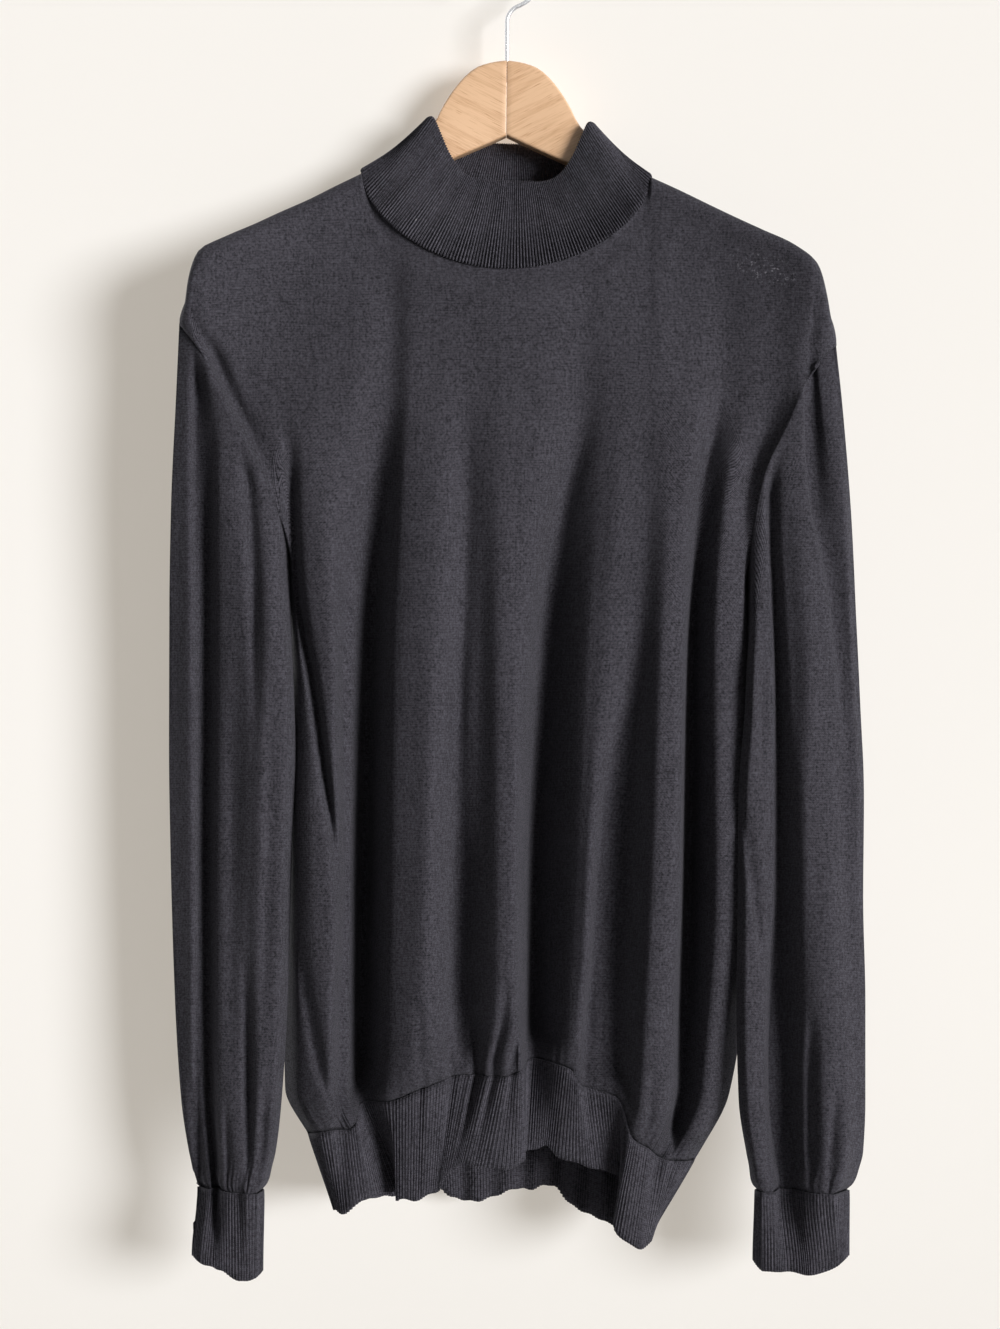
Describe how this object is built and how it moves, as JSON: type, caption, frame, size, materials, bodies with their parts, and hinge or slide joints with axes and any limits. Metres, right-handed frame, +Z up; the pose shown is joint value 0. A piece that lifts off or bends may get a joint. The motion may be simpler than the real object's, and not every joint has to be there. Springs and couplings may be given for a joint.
{
  "type": "mock neck sweater on a wooden hanger",
  "caption": "Charcoal fine-knit mock neck sweater with ribbed collar, cuffs and hem, hanging empty on a plain wooden hanger with a wire hook.",
  "frame": {"origin": "inside top of the hook's bend, where it sits on a rail", "axes": "+Z up, -Y the sweater's front, +X the viewer's right seen from the front"},
  "size_m": [0.468, 0.0908, 0.9073],
  "materials": {
    "knit": "fine plain knit, matt",
    "rib_knit": "one by one rib, matt",
    "wood": "satin varnish",
    "steel": "bright plated wire"
  },
  "bodies": {
    "root": {"front_panel": "knit", "back_panel": "knit", "sleeve_left": "knit", "sleeve_right": "knit", "collar": "rib_knit", "front_hem_rib": "rib_knit", "back_hem_rib": "rib_knit", "cuff_left": "rib_knit", "cuff_right": "rib_knit", "hanger_arm_left": "wood", "hanger_arm_right": "wood", "hanger_hook": "steel"}
  },
  "joints": []
}
